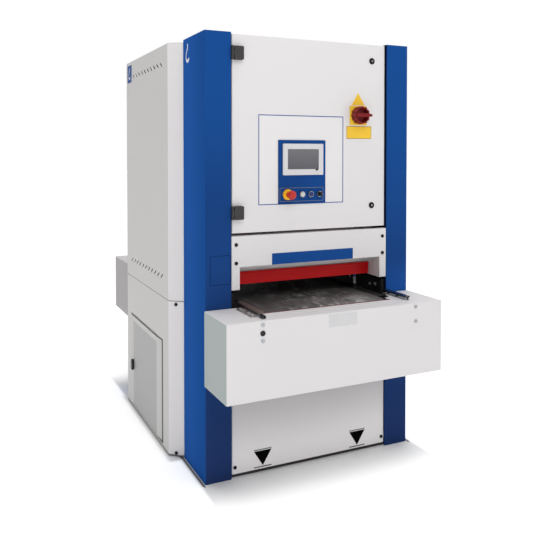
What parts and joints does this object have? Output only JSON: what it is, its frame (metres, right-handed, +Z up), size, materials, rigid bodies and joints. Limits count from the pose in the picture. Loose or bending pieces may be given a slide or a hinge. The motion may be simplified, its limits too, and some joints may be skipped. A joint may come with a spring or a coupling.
{
  "type": "wide belt sander",
  "caption": "Floor-standing wide belt sander: boxed cabinet on blue columns, lifting feed table with guide rails, electrics door with operator panel, inner abrasive belt head.",
  "frame": {"origin": "on the floor under the middle of the machine's bounding box", "axes": "+Z up, +Y from the infeed side to the outfeed side, +X to the right of someone at the infeed"},
  "size_m": [1.228, 2.019, 2],
  "materials": {
    "blue_paint": "satin",
    "white_coat": "satin powder coat",
    "red_paint": "satin",
    "dark_paint": "satin",
    "grey_paint": "satin",
    "motor_paint": "satin",
    "zinc": "zinc plated",
    "steel": "turned",
    "black_steel": "oiled",
    "belt_rubber": "matt",
    "roller_rubber": "matt",
    "abrasive": "coated abrasive",
    "hinge_black": "matt",
    "black_plastic": "matt",
    "grey_plastic": "matt",
    "gear_plastic": "matt",
    "screen": "dark glass",
    "yellow_plastic": "satin",
    "isolator_red": "satin",
    "signal_red": "gloss",
    "white_plastic": "gloss",
    "blue_plastic": "gloss",
    "chrome": "polished",
    "collar": "gloss"
  },
  "bodies": {
    "frame": {"base_frame": "dark_paint", "side_sills": "dark_paint", "front_columns": "blue_paint", "rear_columns": "blue_paint", "roof_panel": "white_coat", "left_upper_cover": "white_coat", "left_lower_cover": "white_coat", "right_upper_cover": "white_coat", "right_lower_cover": "white_coat", "rear_upper_panel": "white_coat", "lower_panels": "white_coat", "extraction_spigots": "zinc", "electrics_box": "white_coat", "mounting_plate": "zinc", "control_gear": "gear_plastic", "door_hinge_brackets": "hinge_black", "infeed_hood": "white_coat", "head_frame": "grey_paint", "main_motor": "motor_paint", "tension_cylinder": "zinc", "sanding_belt": "abrasive", "drive_belt": "belt_rubber", "lift_jacks": "grey_paint"},
    "front_door": {"front_door": "white_coat", "door_hinge_leaves": "hinge_black", "door_collars": "collar", "control_plate": "blue_paint", "screen_bezel": "grey_plastic", "screen_glass": "screen", "isolator_plate": "yellow_plastic"},
    "lock_upper": {"door_lock_upper": "chrome"},
    "lock_lower": {"door_lock_lower": "chrome"},
    "isolator": {"isolator_knob": "isolator_red"},
    "estop": {"estop_button": "signal_red"},
    "start": {"start_button": "white_plastic"},
    "reset": {"reset_button": "blue_plastic"},
    "selector": {"mode_selector": "black_plastic"},
    "left_door": {"left_lower_door": "white_coat"},
    "left_latch": {"left_door_latch": "black_plastic"},
    "belt_door": {"belt_door": "white_coat"},
    "belt_latch": {"belt_door_latch": "black_plastic"},
    "flap": {"safety_flap": "red_paint"},
    "table": {"table_frame": "dark_paint", "feed_belt": "belt_rubber", "roller_bearings": "grey_paint", "feed_gearmotor": "motor_paint", "front_box": "white_coat", "rear_box": "white_coat", "guide_rails": "black_steel", "edge_sensor": "grey_plastic", "lift_screws": "steel"},
    "infeed_roller": {"infeed_roller": "steel"},
    "drive_roller": {"drive_roller": "steel"},
    "contact_roller": {"contact_roller": "roller_rubber", "contact_pulley": "grey_paint"},
    "tension_yoke": {"tension_yoke": "grey_paint"},
    "tension_roller": {"tension_roller": "steel"},
    "motor_pulley": {"motor_pulley": "steel"},
    "infeed_press": {"infeed_press_roller": "roller_rubber"},
    "outfeed_press": {"outfeed_press_roller": "roller_rubber"}
  },
  "joints": [
    {"name": "front_door_hinge", "type": "hinge", "parent": "frame", "child": "front_door", "pos_m": [-0.4115, -0.7525, 1.5], "axis": [0, 0, -1], "range_deg": [0, 110]},
    {"name": "lock_upper_turn", "type": "hinge", "parent": "front_door", "child": "lock_upper", "pos_m": [0.333, -0.7255, 1.915], "axis": [0, -1, 0], "range_deg": [0, 90]},
    {"name": "lock_lower_turn", "type": "hinge", "parent": "front_door", "child": "lock_lower", "pos_m": [0.333, -0.7255, 1.208], "axis": [0, -1, 0], "range_deg": [0, 90]},
    {"name": "isolator_turn", "type": "hinge", "parent": "front_door", "child": "isolator", "pos_m": [0.252, -0.7455, 1.647], "axis": [0, 1, 0], "range_deg": [0, 90]},
    {"name": "estop_push", "type": "slide", "parent": "front_door", "child": "estop", "axis": [0, 1, 0], "range_m": [0, 0.006]},
    {"name": "start_push", "type": "slide", "parent": "front_door", "child": "start", "axis": [0, 1, 0], "range_m": [0, 0.003], "stiffness_N_per_m": 800},
    {"name": "reset_push", "type": "slide", "parent": "front_door", "child": "reset", "axis": [0, 1, 0], "range_m": [0, 0.003], "stiffness_N_per_m": 800},
    {"name": "selector_turn", "type": "hinge", "parent": "front_door", "child": "selector", "pos_m": [0.03372, -0.7455, 1.272], "axis": [0, 1, 0], "range_deg": [-45, 45]},
    {"name": "left_door_hinge", "type": "hinge", "parent": "frame", "child": "left_door", "pos_m": [-0.588, -0.2845, 0.28], "axis": [0, 0, 1], "range_deg": [0, 110]},
    {"name": "left_latch_turn", "type": "hinge", "parent": "left_door", "child": "left_latch", "pos_m": [-0.601, 0.2945, 0.249], "axis": [1, 0, 0], "range_deg": [0, 90]},
    {"name": "belt_door_hinge", "type": "hinge", "parent": "frame", "child": "belt_door", "pos_m": [0.588, 0.3385, 1.373], "axis": [0, 0, 1], "range_deg": [0, 110]},
    {"name": "belt_latch_turn", "type": "hinge", "parent": "belt_door", "child": "belt_latch", "pos_m": [0.601, -0.2715, 1.3735], "axis": [-1, 0, 0], "range_deg": [0, 90]},
    {"name": "flap_swing", "type": "hinge", "parent": "frame", "child": "flap", "pos_m": [0, -0.6475, 0.908], "axis": [1, 0, 0], "range_deg": [0, 25]},
    {"name": "table_lift", "type": "slide", "parent": "frame", "child": "table", "axis": [0, 0, 1], "range_m": [-0.032, 0.068]},
    {"name": "drive_roller_spin", "type": "hinge", "parent": "table", "child": "drive_roller", "pos_m": [0, 0.8402, 0.7197], "axis": [1, 0, 0], "continuous": true},
    {"name": "infeed_roller_spin", "type": "hinge", "parent": "table", "child": "infeed_roller", "pos_m": [0, -0.8402, 0.7197], "axis": [1, 0, 0], "continuous": true},
    {"name": "contact_roller_spin", "type": "hinge", "parent": "frame", "child": "contact_roller", "pos_m": [0, -0.1055, 0.9219], "axis": [1, 0, 0], "continuous": true},
    {"name": "tension_slide", "type": "slide", "parent": "frame", "child": "tension_yoke", "axis": [0, 0, 1], "range_m": [-0.015, 0]},
    {"name": "tension_roller_spin", "type": "hinge", "parent": "tension_yoke", "child": "tension_roller", "pos_m": [0, -0.1055, 1.5519], "axis": [1, 0, 0], "continuous": true},
    {"name": "motor_spin", "type": "hinge", "parent": "frame", "child": "motor_pulley", "pos_m": [-0.44, 0.2245, 1.3019], "axis": [1, 0, 0], "continuous": true},
    {"name": "infeed_press_spin", "type": "hinge", "parent": "frame", "child": "infeed_press", "pos_m": [0, -0.2685, 0.867], "axis": [1, 0, 0], "continuous": true},
    {"name": "outfeed_press_spin", "type": "hinge", "parent": "frame", "child": "outfeed_press", "pos_m": [0, 0.0575, 0.867], "axis": [1, 0, 0], "continuous": true}
  ],
  "couplings": [
    {"joint": "infeed_roller_spin", "follows": "drive_roller_spin", "ratio": 1},
    {"joint": "tension_roller_spin", "follows": "contact_roller_spin", "ratio": 1.3333},
    {"joint": "motor_spin", "follows": "contact_roller_spin", "ratio": 1.2727}
  ]
}
